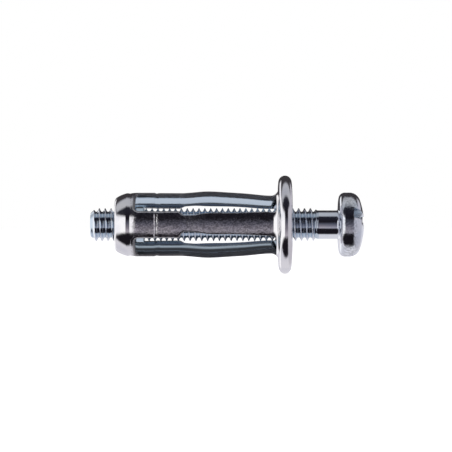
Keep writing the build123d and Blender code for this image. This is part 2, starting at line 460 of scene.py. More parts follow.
@dataclass(frozen=True)
class ZincFinish:
    """Bright zinc plating over drawn or rolled steel.

    Args:
        name: Name of the material.
        colour: Colour of the plating.
        tint: Colour where the passivation lies thicker, in clouds.
        hollow_tint: Colour in hollows, where it lies thickest.
        roughness: Roughness of the plain surface.
        grain: Height of the worked surface's grain, in metres.
        grain_size: Size of one grain, in metres.
        plain_grain: Share of that grain which is left on plain places.
        torn_and_painted_edge_shade: Share of the colour that torn edges lose; on the rolled window edges
            this loss is painted shade.
        pierced_roughness: Roughness that torn edges add.
        worked_roughness: Roughness that worked places add.
        cloud_roughness: Roughness that the tinted clouds add.
        cloud_scale: Clouds to the metre.
        torn_scale: Tears of the pierced edges to the metre.
        torn_height: Height of those tears, in grains.
        pit_shade: Share of the colour that pits lose.
        coarse_height: Height of the coarse grain beside the fine one.
        hollow_smoothness: Share of the grain that hollows lose.
    """

    name: str
    colour: tuple[float, float, float]
    tint: tuple[float, float, float]
    hollow_tint: tuple[float, float, float]
    roughness: float
    grain: float
    grain_size: float
    plain_grain: float
    # Torn edges lose this share of their colour; on the rolled window edges the loss is painted shade.
    torn_and_painted_edge_shade: float = 0.66
    pierced_roughness: float = 0.3
    worked_roughness: float = 0.06
    cloud_roughness: float = 0.05
    cloud_scale: float = 420.0
    torn_scale: float = 9000.0
    torn_height: float = 3.0
    pit_shade: float = 0.6
    coarse_height: float = 1.6
    hollow_smoothness: float = 0.9

    def material(self) -> bpy.types.Material:
        """Builds the node material.

        Returns:
            The material.
        """
        board = NodeBoard(self.name)
        place = board.node("ShaderNodeTexCoord").outputs["Object"]
        kinds = board.node("ShaderNodeSeparateXYZ")
        layer = board.node("ShaderNodeAttribute", attribute_name=KIND_LAYER)
        board.link(layer.outputs["Vector"], kinds.inputs[0])
        # First share: torn edge, and painted shade on the rolled window edges; then worked grain, then
        # hollow.
        pierced, worked, hollow = kinds.outputs
        shader = board.node("ShaderNodeBsdfPrincipled")
        out = board.node("ShaderNodeOutputMaterial")
        board.link(shader.outputs[0], out.inputs[0])
        shader.inputs["Metallic"].default_value = 1.0
        fine = board.noise(place, 1 / self.grain_size, 2.0)
        coarse = board.noise(place, 0.4 / self.grain_size, 1.0)
        cloud = board.ramp(board.noise(place, self.cloud_scale, 2.0), [(0.4, 0.0), (0.68, 1.0)])
        plain = board.blend(cloud, (*self.colour, 1.0), (*self.tint, 1.0))
        tinted = board.blend(hollow, plain, (*self.hollow_tint, 1.0))
        both = board.total(board.product(fine, 0.6), board.product(coarse, 0.4))
        pits = board.ramp(both, [(0.40, 0.25), (0.6, 1.0)])
        pitted = board.product(board.remainder(pits), worked)
        worn = board.remainder(board.product(pitted, self.pit_shade))
        # Darkens torn edges, and paints shade on the rolled window edges.
        shade = board.remainder(board.product(pierced, self.torn_and_painted_edge_shade))
        colour = board.node("ShaderNodeMix", data_type="RGBA", blend_type="MULTIPLY")
        colour.inputs[0].default_value = 1.0
        board.link(tinted, colour.inputs[6])
        board.link(board.product(worn, shade), colour.inputs[7])
        board.link(colour.outputs[2], shader.inputs["Base Color"])
        rough = board.total(board.product(pierced, self.pierced_roughness), self.roughness)
        rough = board.total(rough, board.product(worked, self.worked_roughness))
        rough = board.total(rough, board.product(cloud, self.cloud_roughness))
        board.link(rough, shader.inputs["Roughness"])
        tears = board.noise(place, self.torn_scale, 2.0)
        torn = board.product(tears, board.product(pierced, self.torn_height))
        share = board.total(board.product(worked, 1 - self.plain_grain), self.plain_grain)
        smoothed = board.product(hollow, self.hollow_smoothness)
        share = board.product(share, board.remainder(smoothed))
        mixed = board.total(fine, board.product(coarse, self.coarse_height))
        height = board.total(board.product(mixed, share), torn)
        bump = board.node("ShaderNodeBump")
        bump.inputs["Strength"].default_value = 1.0
        bump.inputs["Distance"].default_value = self.grain
        board.link(height, bump.inputs["Height"])
        board.link(bump.outputs["Normal"], shader.inputs["Normal"])
        return board.material


# ---------------------------------------------------------------------------------------------
# Sleeve
# ---------------------------------------------------------------------------------------------


@dataclass(frozen=True)
class LegShape:
    """Outline of one leg from its neck to the flange. Millimetres.

    Args:
        neck: Half its width at the neck.
        swell: Half its width at each row of the swell.
        sway: How far its middle line leans round the sleeve past the neck, in degrees.
    """

    neck: float
    swell: tuple[float, float, float]
    sway: float = 0.0


@dataclass
class Sleeve:
    """The drawn sleeve: domed cap with its collar, three legs and a hemmed flange. Millimetres.

    Args:
        depth: From the flange's wall-side face to the end of the cap.
        flange_r: Radius of the flange.
        flange_thickness: Thickness of the hemmed flange.
        finish: Finish of the plating.
    """

    depth: float
    flange_r: float
    flange_thickness: float
    finish: ZincFinish
    sheet: float = 0.6
    flange_reach: float = 1.995
    dome_length: float = 2.4
    shoulder_r: float = 4.1
    corner_r: float = 0.615
    inside_corner_r: float = 0.3
    collar_length: float = 3.5
    collar_bore_r: float = 2.0
    collar_r: float = 2.3
    mouth_r: float = 0.3
    collar_root_r: float = 0.2
    root_r: float = 0.85
    hem_edge_r: float = 3.0
    hem_rounding: float = 0.25
    leg_count: int = 3
    front_leg: float = FRONT_ANGLE
    crease_from_cap: float = 4.9
    crease_depth: float = 0.105
    crease_step: float = 0.03
    ring_from_cap: float = 1.85
    ring_depth: float = 0.115
    neck_from_cap: float = 8.3
    neck_length: float = 0.75
    shoulder_from_cap: float = 7.6
    window_from_cap: float = 2.45
    window_from_flange: float = 0.35
    window_corner_r: float = 0.5
    wide_half_width: float = 1.574
    waist_half_width: float = 1.42
    front_shape: LegShape = LegShape(0.96, (1.17, 1.27, 1.34), -2.2)
    rear_shape: LegShape = LegShape(1.42, (1.58, 1.54, 1.48))
    swell: tuple[tuple[float, float], ...] = ((0.15, 0.13), (0.45, 0.04), (0.74, -0.16))
    neck_rise: float = -0.03
    waist_rise: float = -0.37
    roll_width: float = 0.45
    roll_depth: float = 0.34
    late_roll: float = 0.36
    punch_inset: float = 0.3
    burr_r: float = 0.05
    columns_leg: int = 18
    columns_window_half: int = 10
    corner_steps: int = 8
    side_steps: int = 132
    roll_steps: int = 8

    def __post_init__(self) -> None:
        """Works out what follows from the driving sizes."""
        self.body_r = self.flange_r - self.flange_reach
        self.cap_x = -self.depth
        self.waist_x = -self.root_r
        self.crease_x = self.cap_x + self.crease_from_cap
        self.neck_x = self.cap_x + self.neck_from_cap
        self.neck_end_x = self.neck_x + self.neck_length
        self.reference_r = self.body_r - self.sheet / 5
        self.outside = Meridian(self.outside_points())
        self.low = self.outside.length_at(self.cap_x + self.window_from_cap)
        self.high = self.outside.length_at(-self.window_from_flange)
        self.band = 1.07

    def swell_x(self, share: float) -> float:
        """Place along the axis of one row of the swell."""
        return self.neck_end_x + share * (self.waist_x - self.neck_end_x)

    def leg_radius(self, x: np.ndarray) -> np.ndarray:
        """Outer radius of the legs at places along the axis."""
        knots = [self.crease_x, self.neck_x] + [self.swell_x(row[0]) for row in self.swell]
        rises = [0.0, self.neck_rise] + [row[1] for row in self.swell]
        curve = SmoothCurve((*knots, self.waist_x), (*rises, self.waist_rise))
        return self.body_r + curve.at(x)

    def marks_left_by_tools(self, x: np.ndarray) -> np.ndarray:
        """How far the drawing ring and the coined crease lower the outside at places on the axis."""
        ring = x - self.cap_x - self.ring_from_cap
        groove = eased_step(ring, -0.42, 0.0) * (1 - eased_step(ring, 0.0, 0.85))
        crease = x - self.crease_x
        coined = eased_step(crease, -0.16, 0.0) * (1 - eased_step(crease, 0.0, 0.34))
        after = smooth_step(crease, 0.0, 0.3) * (1 - smooth_step(crease, 0.3, 2.4))
        return self.ring_depth * groove + self.crease_depth * coined + self.crease_step * after

    def dome_points(self, face_x: float, outer_r: float, shoulder_r: float, corner_r: float) -> list[Point]:
        """The dome's outline from its flat face to the straight stretch.

        Args:
            face_x: Place of the flat face.
            outer_r: Radius of the straight stretch.
            shoulder_r: Radius of the flank.
            corner_r: Radius between the flank and the face.

        Returns:
            The outline's points.
        """
        straight_x = self.cap_x + self.dome_length
        along = straight_x - face_x - corner_r
        rise = math.sqrt((shoulder_r - corner_r) ** 2 - along**2)
        shoulder = (straight_x, outer_r - shoulder_r)
        corner = (face_x + corner_r, shoulder[1] + rise)
        knee = 180 - math.degrees(math.atan2(rise, along))
        first = arc_points(corner, corner_r, 180, knee, 14)
        return chain(first, arc_points(shoulder, shoulder_r, knee, 90, 60))

    def outside_points(self) -> list[Point]:
        """The outside's outline, from the dome's flat face to the flange's wall-side face."""
        dome = self.dome_points(self.cap_x, self.body_r, self.shoulder_r, self.corner_r)
        xs = np.arange(self.cap_x + self.dome_length, self.waist_x, 0.02)[1:]
        legs = list(zip(xs, self.leg_radius(xs)))
        plain = chain(dome, [dome[-1], *legs])
        marked = [(x, r - float(self.marks_left_by_tools(np.array(x)))) for x, r in plain]
        waist_r = self.body_r + self.waist_rise
        root = arc_points((self.waist_x, waist_r + self.root_r), self.root_r, -90, 0, 40)
        return marked + root

    def leg_half_angle(self, x: np.ndarray, shape: LegShape) -> np.ndarray:
        """Half the angle that a leg takes up.

        Args:
            x: Places along the axis.
            shape: The leg's outline.

        Returns:
            The angle at each place, in degrees.
        """
        shoulder_x = self.cap_x + self.shoulder_from_cap
        start = smooth_step(x, shoulder_x, self.neck_x)
        first = self.wide_half_width + (shape.neck - self.wide_half_width) * start
        knots = [self.neck_end_x] + [self.swell_x(row[0]) for row in self.swell] + [self.waist_x]
        second = SmoothCurve(tuple(knots), (shape.neck, *shape.swell, self.waist_half_width)).at(x)
        width = np.where(x < self.neck_end_x, first, second)
        inner = self.leg_radius(x) - self.roll_depth * self.roll_share(x)
        return np.degrees(np.arcsin(width / inner))

    def roll_share(self, x: np.ndarray) -> np.ndarray:
        """How much of the full rolled edge there is: all of it by the cap, less past the neck."""
        return 1 - (1 - self.late_roll) * smooth_step(x, self.neck_x - 0.7, self.neck_x + 0.4)

    def sway_at(self, x: np.ndarray, shape: LegShape) -> np.ndarray:
        """How far a leg's middle line leans round the sleeve, in degrees."""
        rise = smooth_step(x, self.neck_x - 0.7, self.neck_x)
        return shape.sway * rise * (1 - smooth_step(x, self.waist_x - 0.6, self.waist_x + 0.45))

    def shape_of(self, angle: float) -> LegShape:
        """The outline of the leg at an angle."""
        return self.front_shape if round(angle - self.front_leg) % 360 == 0 else self.rear_shape

    def window_edge(self, share: np.ndarray | float, shape: LegShape) -> tuple[np.ndarray, np.ndarray]:
        """Half of a window's edge beside one leg, moved out into the metal.

        Args:
            share: How far it is moved, square to itself, as a share of the rolled edge's width.
            shape: The outline of the leg on that side.

        Returns:
            Lengths along the outline, and distances round from the window's middle.
        """
        rho = self.window_corner_r
        half = 180 / self.leg_count
        side = np.linspace(self.low + rho, self.high - rho, self.side_steps + 1)
        x, _ = self.outside.at(side, 0.0)
        width = np.radians(half - self.leg_half_angle(x, shape)) * self.reference_r
        ends = self.columns_window_half
        corner = self.corner_steps
        local = np.concatenate([
            np.full(ends + corner, self.roll_share(x[0])),
            self.roll_share(x),
            np.full(ends + corner, self.roll_share(x[-1])),
        ])
        offset = share * self.roll_width * local
        low_end, low_turn = offset[:ends], offset[ends:ends + corner]
        along = offset[ends + corner:len(offset) - ends - corner]
        high_turn, high_end = offset[len(offset) - ends - corner:len(offset) - ends], offset[-ends:]
        slope = np.gradient(width, side)
        size = np.hypot(slope, 1.0)
        turn = np.radians(np.linspace(90, 0, corner + 1))[:-1]
        reach = np.linspace(0, 1, ends + 1)[:-1]
        lengths = np.concatenate([
            self.low - low_end,
            self.low + rho - (rho + low_turn) * np.sin(turn),
            side - along * slope / size,
            self.high - rho + (rho + high_turn) * np.sin(turn[::-1]),
            self.high + high_end,
        ])
        rounds = np.concatenate([
            reach * (width[0] - rho),
            width[0] - rho + (rho + low_turn) * np.cos(turn),
            width + along / size,
            width[-1] - rho + (rho + high_turn) * np.cos(turn[::-1]),
            reach[::-1] * (width[-1] - rho),
        ])
        return lengths, rounds

    def place(self, lengths: np.ndarray, depth: np.ndarray | float, angle: np.ndarray) -> np.ndarray:
        """Points on or below the outside."""
        x, r = self.outside.at(lengths, depth)
        return turned(x, r, angle)

    def angle_of(self, rounds: np.ndarray) -> np.ndarray:
        """The angle, in degrees, of a distance round the sleeve."""
        return np.degrees(rounds / self.reference_r)

    def edge_row(
        self, centre: float, side: float, share: np.ndarray | float, depth: np.ndarray
    ) -> np.ndarray:
        """Points along one side of a window.

        Args:
            centre: Angle of the window's middle, in degrees.
            side: 1 for the side of rising angles, -1 for the other.
            share: How far out into the metal, as a share of the rolled edge's width.
            depth: How deep below the outside.

        Returns:
            The row of points.
        """
        shape = self.shape_of(centre + side * 180 / self.leg_count)
        lengths, rounds = self.window_edge(share, shape)
        x, _ = self.outside.at(lengths, 0.0)
        middle = smooth_step(np.abs(rounds), 0.0, self.window_corner_r)
        angle = centre + side * self.angle_of(rounds) + self.sway_at(x, shape) * middle
        return self.place(lengths, depth, angle)

    def window_rims(self, maker: MeshMaker, centre: float) -> None:
        """Adds the rolled-in edge of one window, its torn cut face and the inside beside it.

        Args:
            maker: Where the grids go.
            centre: Angle of the window's middle, in degrees.
        """
        turns = np.radians(np.linspace(0, 90, self.roll_steps + 1))
        shares = np.append(1 - np.cos(turns), self.band)
        drops = np.append(1 - np.sin(turns), 0.0)
        # Painted shade: the rolled edge is darkened towards its lip, and roughened and torn like a cut
        # edge.
        torn_and_painted_shade = smooth_step(drops, 0.02, 0.3)
        for side in (1.0, -1.0):
            shape = self.shape_of(centre + side * 180 / self.leg_count)
            base_l, base_r = self.window_edge(0.0, shape)
            x, _ = self.outside.at(base_l, 0.0)
            roll = self.roll_share(x)
            slant = np.gradient(base_r), np.gradient(base_l)
            sideways = np.abs(slant[1]) / np.hypot(*slant)
            depth = self.roll_depth * roll
            rows = [self.edge_row(centre, side, s, depth * d) for s, d in zip(shares, drops)]
            grain = self.grain_at(x)[None, :] * (1 - torn_and_painted_shade)[:, None]
            marks = np.stack([np.repeat(torn_and_painted_shade[:, None], len(x), axis=1), grain, 0 * grain], axis=-1)
            maker.grid(np.stack(rows), marks)
            inset = self.punch_inset * sideways / (self.roll_width * roll)
            burr = self.burr_r / (self.roll_width * roll)
            cut = []
            for s in (0.0, 0.35, 0.7, 1.0):
                level = depth + s * (self.sheet - self.burr_r - depth)
                cut.append(self.edge_row(centre, side, s * inset, level))
            cut.append(self.edge_row(centre, side, inset + burr, self.sheet * np.ones(len(x))))
            maker.grid(np.stack(cut), Surface.PIERCED)
            last = self.inside_share(x)
            inside = [cut[-1]]
            for s in (0.4, 0.75, 1.0):
                share = (1 - s) * (inset + burr) + s * last
                inside.append(self.edge_row(centre, side, share, self.sheet * np.ones(len(x))))
            maker.grid(np.stack(inside), Surface.HOLLOW)

    def inside_share(self, x: np.ndarray) -> np.ndarray:
        """Where the window's surround ends on the inside, in shares of the rolled edge's width."""
        widest = (self.punch_inset + self.burr_r + 0.08) / (self.roll_width * self.roll_share(x))
        return np.maximum(self.band, widest)

    def grain_at(self, x: np.ndarray) -> np.ndarray:
        """Share of worked grain on the outside: on the legs, and fading out at both ends."""
        start = smooth_step(x, self.cap_x + 1.7, self.cap_x + 3.0)
        return start * (1 - smooth_step(x, self.waist_x - 0.2, self.waist_x + 0.3))

    def leg_strip(self, maker: MeshMaker, centre: float) -> None:
        """Adds the outside and inside of one leg, between the rolled edges of two windows.

        Args:
            maker: Where the grids go.
            centre: Angle of the leg's middle, in degrees.
        """
        shape = self.shape_of(centre)
        base, _ = self.window_edge(0.0, shape)
        x, _ = self.outside.at(base, 0.0)
        ends = self.columns_window_half
        rows = slice(ends, len(base) - ends)
        half_turn = 180 / self.leg_count
        blend = np.linspace(0, 1, self.columns_leg + 1)[None, :]
        reach = {0.0: self.band, self.sheet: self.inside_share(x)}
        for depth, share in reach.items():
            lengths, rounds = self.window_edge(share, shape)
            place, _ = self.outside.at(lengths, 0.0)
            middle = smooth_step(np.abs(rounds), 0.0, self.window_corner_r)
            lean = self.sway_at(place, shape) * middle
            low = centre - half_turn + self.angle_of(rounds) + lean
            high = centre + half_turn - self.angle_of(rounds) + lean
            angle = low[rows, None] * (1 - blend) + high[rows, None] * blend
            long = np.repeat(lengths[rows][:, None], blend.shape[1], axis=1)
            points = self.place(long, depth, angle)
            grain = np.repeat(self.grain_at(place)[rows][:, None], blend.shape[1], axis=1)
            outer = surface_mix(Surface.PLAIN, Surface.GRAINY, grain)
            maker.grid(points, outer if depth == 0.0 else Surface.HOLLOW)

    def ring_angles(self, at_low_end: bool, inner: bool) -> np.ndarray:
        """Angles of the columns all the way round, beyond the windows' ends.

        Args:
            at_low_end: Whether by the cap or by the flange.
            inner: Whether for the inside or the outside.

        Returns:
            The angles, in degrees.
        """
        base, _ = self.window_edge(0.0, self.rear_shape)
        x, _ = self.outside.at(base, 0.0)
        _, rounds = self.window_edge(self.inside_share(x) if inner else self.band, self.rear_shape)
        ends = self.columns_window_half
        corner = self.angle_of(rounds[ends if at_low_end else -ends - 1])
        step = 360 / self.leg_count
        angles: list[float] = []
        for k in range(self.leg_count):
            leg = self.front_leg + k * step
            half_leg = step / 2 - corner
            angles += list(leg + np.linspace(-half_leg, half_leg, self.columns_leg + 1)[:-1])
            window = leg + step / 2
            angles += list(window + np.linspace(-corner, corner, 2 * ends + 1)[:-1])
        return np.array(angles)

    def turned_run(
        self, maker: MeshMaker, outline: list[Point], at_low_end: bool, kinds: np.ndarray
    ) -> None:
        """Adds a surface turned about the axis, from the outside at the windows round to the inside.

        Args:
            maker: Where the grid goes.
            outline: Its outline.
            at_low_end: Whether by the cap or by the flange.
            kinds: Shares of the kinds of surface along the outline.
        """
        table = np.array(outline)
        outer = self.ring_angles(at_low_end, inner=False)
        inner = self.ring_angles(at_low_end, inner=True)
        share = np.linspace(0, 1, len(table))[:, None]
        angles = outer * (1 - share) + inner * share
        maker.grid(turned(table[:, :1], table[:, 1:], angles), kinds[:, None, :], loop=True)

    def below(self, lengths: np.ndarray, depth: float) -> list[Point]:
        """An outline at a depth below the outside."""
        x, r = self.outside.at(lengths, depth)
        return list(zip(x.tolist(), r.tolist()))

    def cap(self, maker: MeshMaker) -> None:
        """Adds the cap, from the windows' ends round the dome and through the collar to the inside."""
        face_x = self.cap_x + self.sheet
        start = self.low - self.band * self.roll_width
        outer = self.below(np.linspace(start, 0.0, 60), 0.0)
        straight_x = self.cap_x + self.dome_length
        inner = self.dome_points(
            face_x, self.body_r - self.sheet, self.shoulder_r - self.sheet, self.inside_corner_r
        )
        reach = self.below(np.array([start]), self.sheet)[0]
        inner = [point for point in inner if point[0] < min(straight_x, reach[0]) - 0.02]
        mouth = (self.cap_x + self.mouth_r, self.collar_bore_r + self.mouth_r)
        root = (face_x + self.collar_root_r, self.collar_r + self.collar_root_r)
        end_x = self.cap_x + self.collar_length
        bore = self.collar_bore_r
        lip = 0.06
        outline = chain(
            outer,
            line_points(outer[-1], (self.cap_x, mouth[1]), 6),
            arc_points(mouth, self.mouth_r, 180, 270, 8),
            line_points((mouth[0], bore), (end_x - lip, bore), 12),
            line_points((end_x - lip, bore), (end_x, bore + lip), 1),
            line_points((end_x, bore + lip), (end_x, self.collar_r - lip), 2),
            line_points((end_x, self.collar_r - lip), (end_x - lip, self.collar_r), 1),
            line_points((end_x - lip, self.collar_r), (root[0], self.collar_r), 12),
            arc_points(root, self.collar_root_r, 270, 180, 6),
            line_points((face_x, root[1]), inner[0], 2),
            inner,
            [inner[-1], reach],
        )
        grain = self.grain_at(np.array(outline)[:, 0])
        kinds = surface_mix(Surface.PLAIN, Surface.GRAINY, grain)
        kinds[len(outer) + 12:] = Surface.HOLLOW.value
        self.turned_run(maker, outline, True, kinds)

    def flange(self, maker: MeshMaker) -> None:
        """Adds the flange, from the windows' ends over the rim and the hem to the inside."""
        late = float(self.roll_share(np.array(0.0)))
        start = self.high + self.band * self.roll_width * late
        inner_start = self.high + self.roll_width * late * float(self.inside_share(np.array(0.0)))
        last = self.outside.along[-1]
        rim_r = self.flange_thickness / 2
        rim = (rim_r, self.flange_r - rim_r)
        root_centre_r = self.body_r + self.waist_rise + self.root_r
        room_x = self.flange_thickness
        edge = (room_x - self.hem_rounding, self.hem_edge_r + self.hem_rounding)
        gap_x = room_x - self.sheet
        lengths = np.linspace(start, last, 16)
        back = self.below(np.linspace(last, inner_start, 16), self.sheet)
        outline = chain(
            self.below(lengths, 0.0),
            line_points((0.0, root_centre_r), (0.0, rim[1]), 8),
            arc_points(rim, rim_r, 180, 0, 40),
            line_points((room_x, rim[1]), (room_x, edge[1]), 14),
            arc_points(edge, self.hem_rounding, 0, -90, 8),
            line_points((edge[0], self.hem_edge_r), (gap_x, self.hem_edge_r), 2),
            line_points((gap_x, self.hem_edge_r), (gap_x, rim[1]), 12),
            arc_points(rim, rim_r - self.sheet, 0, 180, 12),
            line_points((self.sheet, rim[1]), (self.sheet, root_centre_r), 6),
            [(self.sheet, root_centre_r), *back],
        )
        grain = self.grain_at(np.array(outline)[:, 0])
        kinds = surface_mix(Surface.PLAIN, Surface.GRAINY, grain)
        kinds[-30:] = Surface.HOLLOW.value
        self.turned_run(maker, outline, False, kinds)

    def build(self) -> bpy.types.Object:
        """Builds and dresses the sleeve.

        Returns:
            The sleeve's object.
        """
        maker = MeshMaker("drawn_sleeve")
        step = 360 / self.leg_count
        for k in range(self.leg_count):
            self.leg_strip(maker, self.front_leg + k * step)
            self.window_rims(maker, self.front_leg + (k + 0.5) * step)
        self.cap(maker)
        self.flange(maker)
        piece = maker.make(sharp_angle=38.0)
        piece.data.materials.append(self.finish.material())
        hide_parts("sleeve")
        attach(piece, "sleeve")
        return piece


# ---------------------------------------------------------------------------------------------
# Screw
# ---------------------------------------------------------------------------------------------


@dataclass
class Screw:
    """The machine screw: rolled thread, plain shank and pan head with slot and cross. Millimetres.

    Args:
        tip_x: Place of the tip.
        crown_x: Place of the head's crown.
        head_r: Radius of the head.
        finish: Finish of the plating.
    """

    tip_x: float
    crown_x: float
    head_r: float
    finish: ZincFinish
    pitch: float = 0.7
    crest_r: float = 1.97
    root_r: float = 1.55
    shank_r: float = 1.7
    shank_length: float = 2.65
    runout: float = 0.7
    thread_start: float = 0.2
    tip_r: float = 1.38
    tip_chamfer: float = 0.6
    head_height: float = 3.0
    crown_r: float = 9.0
    top_edge_r: float = 1.3
    lower_edge_r: float = 0.7
    fillet_r: float = 0.32
    slot_width: float = 1.2
    slot_depth: float = 1.4
    slot_angle: float = 158.0
    cross_width: float = 1.1
    cross_narrowing: float = 0.86
    slot_half_length: float = 4.5
    tool_overshoot: float = 1.0
    cross_depth: float = 2.1
    cross_mouth_r: float = 2.15
    cross_floor_r: float = 1.0
    core_mouth_r: float = 1.18
    core_floor_r: float = 0.55
    steps_round: int = 72
    head_steps_round: int = 160

    def __post_init__(self) -> None:
        """Works out what follows from the driving sizes."""
        self.head_x = self.crown_x - self.head_height
        self.thread_end_x = self.head_x - self.shank_length + self.runout / 3

    def thread_profile(self) -> list[Point]:
        """One turn's section: share of the pitch, and radius."""
        crest, root = self.crest_r, self.root_r
        return [
            (-0.5, root),
            (-0.42, root + 0.004),
            (-0.34, root + 0.03),
            (-0.2, root + 0.5 * (crest - root) - 0.03),
            (-0.065, crest - 0.03),
            (-0.03, crest - 0.006),
            (0.0, crest),
            (0.03, crest - 0.006),
            (0.065, crest - 0.03),
            (0.2, root + 0.5 * (crest - root) - 0.03),
            (0.34, root + 0.03),
            (0.42, root + 0.004),
        ]

    def thread(self, maker: MeshMaker) -> None:
        """Adds the rolled right-hand thread, with its chamfered start and its run-out."""
        profile = self.thread_profile()
        shares = np.array([row[0] for row in profile])
        radii = np.array([row[1] for row in profile])
        span = self.thread_end_x - self.tip_x
        turns = math.ceil(span / self.pitch) + 3
        k = np.arange(turns * len(shares) + 1)
        row_share = shares[k % len(shares)] + k // len(shares) - 1 + self.thread_start
        row_r = radii[k % len(shares)]
        angle = np.linspace(0, 360, self.steps_round + 1)
        x = self.tip_x + (row_share[:, None] + angle[None, :] / 360) * self.pitch
        r = np.repeat(row_r[:, None], len(angle), axis=1)
        fade = smooth_step(x, self.thread_end_x - self.runout, self.thread_end_x)
        r = r + (self.shank_r - r) * fade
        slope = (self.crest_r - self.tip_r) / self.tip_chamfer
        r = np.minimum(r, self.tip_r + np.maximum(x - self.tip_x, 0.0) * slope)
        x = np.clip(x, self.tip_x, self.thread_end_x)
        r = np.where(x <= self.tip_x, self.tip_r, np.where(x >= self.thread_end_x, self.shank_r, r))
        hollow = 0.75 * (1 - smooth_step(r, self.root_r + 0.05, self.crest_r - 0.05))
        maker.grid(turned(x, r, angle[None, :]), surface_mix(Surface.PLAIN, Surface.HOLLOW, hollow))
        ring = turned(np.array([self.tip_x]), np.array([self.tip_r]), angle[:-1])
        maker.disc(ring)

    def shank_and_head(self) -> bpy.types.Object:
        """Builds the plain shank and the head before its recess is struck."""
        lower = (self.head_x + self.lower_edge_r, self.head_r - self.lower_edge_r)
        crown = (self.crown_x - self.crown_r, 0.0)
        edge_y = self.head_r - self.top_edge_r
        reach = self.crown_r - self.top_edge_r
        edge = (crown[0] + math.sqrt(reach**2 - edge_y**2), edge_y)
        meet = math.degrees(math.asin(edge_y / reach))
        fillet = (self.head_x - self.fillet_r, self.shank_r + self.fillet_r)
        outline = chain(
            line_points((self.thread_end_x, self.shank_r), (fillet[0], self.shank_r), 12),
            arc_points(fillet, self.fillet_r, -90, 0, 10),
            line_points((self.head_x, fillet[1]), (self.head_x, lower[1]), 8),
            arc_points(lower, self.lower_edge_r, 180, 90, 14),
            line_points((lower[0], self.head_r), (edge[0], self.head_r), 5),
            arc_points(edge, self.top_edge_r, 90, meet, 22),
            arc_points(crown, self.crown_r, meet, 1.5, 16),
        )
        maker = MeshMaker("screw_head")
        table = np.array(outline)
        angle = np.linspace(0, 360, self.head_steps_round + 1)[:-1]
        maker.grid(turned(table[:, :1], table[:, 1:], angle[None, :]), loop=True)
        maker.disc(turned(table[-1:, 0], table[-1:, 1], angle))
        maker.disc(turned(table[:1, 0], table[:1, 1], angle))
        return maker.make(sharp_angle=40.0)

    def recess_cutter(self) -> list[bpy.types.Object]:
        """Builds the tools that strike the slot, the cross's wings and its core."""
        turn = math.radians(self.slot_angle)
        low, top = self.crown_x - self.slot_depth, self.crown_x + self.tool_overshoot
        level = (self.slot_half_length, self.slot_width / 2)
        tools = [self.prism("slot_tool", ((low, *level), (top, *level)), turn)]
        floor_x = self.crown_x - self.cross_depth
        widen = (self.cross_mouth_r - self.cross_floor_r) / self.cross_depth
        floor = (floor_x, self.cross_floor_r, self.cross_width * self.cross_narrowing / 2)
        mouth = (top, self.cross_floor_r + widen * (top - floor_x), self.cross_width / 2)
        for name, extra in (("wing_tool_a", 0.0), ("wing_tool_b", math.pi / 2)):
            tools.append(self.prism(name, (floor, mouth), turn + extra))
        tools.append(self.core(top))
        return tools

    def prism(self, name: str, ends: tuple[tuple[float, ...], ...], turn: float) -> bpy.types.Object:
        """A four-sided tool between two levels.

        Args:
            name: Name of the tool.
            ends: Each level's place along the axis, half length and half width.
            turn: Angle about the axis, in radians.

        Returns:
            The tool.
        """
        maker = bmesh.new()
        corners = []
        for x, half_length, half_width in ends:
            for along, across in ((-1, -1), (1, -1), (1, 1), (-1, 1)):
                a, b = along * half_length, across * half_width
                y = a * math.cos(turn) - b * math.sin(turn)
                z = a * math.sin(turn) + b * math.cos(turn)
                corners.append(maker.verts.new(Vector((x, y, z)) * MM))
        for face in ((0, 1, 2, 3), (7, 6, 5, 4), (0, 4, 5, 1), (1, 5, 6, 2), (2, 6, 7, 3), (3, 7, 4, 0)):
            maker.faces.new([corners[i] for i in face])
        return self.tool_from(name, maker)

    def core(self, top: float) -> bpy.types.Object:
        """The round middle of the cross, with its pointed floor."""
        floor_x = self.crown_x - self.cross_depth
        widen = (self.core_mouth_r - self.core_floor_r) / self.cross_depth
        top_r = self.core_floor_r + widen * (top - floor_x)
        maker = MeshMaker("core_tool")
        angle = np.linspace(0, 360, 41)[:-1]
        x = np.array([[floor_x - 0.25], [floor_x], [top]])
        r = np.array([[0.08], [self.core_floor_r], [top_r]])
        rows = turned(x, r, angle[None, :])
        maker.grid(rows, loop=True)
        maker.disc(rows[0])
        maker.disc(rows[-1])
        return maker.make(sharp_angle=40.0)

    def tool_from(self, name: str, shape: bmesh.types.BMesh) -> bpy.types.Object:
        """Turns a shape into a tool object."""
        bmesh.ops.recalc_face_normals(shape, faces=shape.faces)
        mesh = bpy.data.meshes.new(name)
        shape.to_mesh(mesh)
        shape.free()
        tool = bpy.data.objects.new(name, mesh)
        bpy.context.scene.collection.objects.link(tool)
        return tool

    def strike(self, head: bpy.types.Object) -> bpy.types.Mesh:
        """Cuts the recess into the head.

        Args:
            head: The plain head, which is used up.

        Returns:
            The finished head's mesh.
        """
        tools = self.recess_cutter()
        for number, tool in enumerate(tools):
            cut = head.modifiers.new(f"cut_{number}", "BOOLEAN")
            cut.operation = "DIFFERENCE"
            cut.solver = "EXACT"
            cut.object = tool
        graph = bpy.context.evaluated_depsgraph_get()
        mesh = bpy.data.meshes.new_from_object(head.evaluated_get(graph))
        for spare in (head, *tools):
            bpy.data.objects.remove(spare)
        return mesh

    def mark_recess(self, shape: bmesh.types.BMesh) -> None:
        """Marks the struck recess as hollow and the head's flank as worked."""
        layer = shape.verts.layers.float_vector[KIND_LAYER]
        for vert in shape.verts:
            x, y, z = vert.co / MM
            if x < self.head_x:
                continue
            r = math.hypot(y, z)
            crown = self.crown_x - self.crown_r + math.sqrt(self.crown_r**2 - r**2)
            if r < self.head_r - self.top_edge_r and x < crown - 0.05:
                vert[layer] = Surface.HOLLOW.value
            else:
                share = float(smooth_step(x, self.head_x, self.head_x + 0.7))
                share *= 1 - float(smooth_step(x, self.crown_x - 1.4, self.crown_x - 0.6))
                vert[layer] = (0.0, 0.8 * share, 0.0)

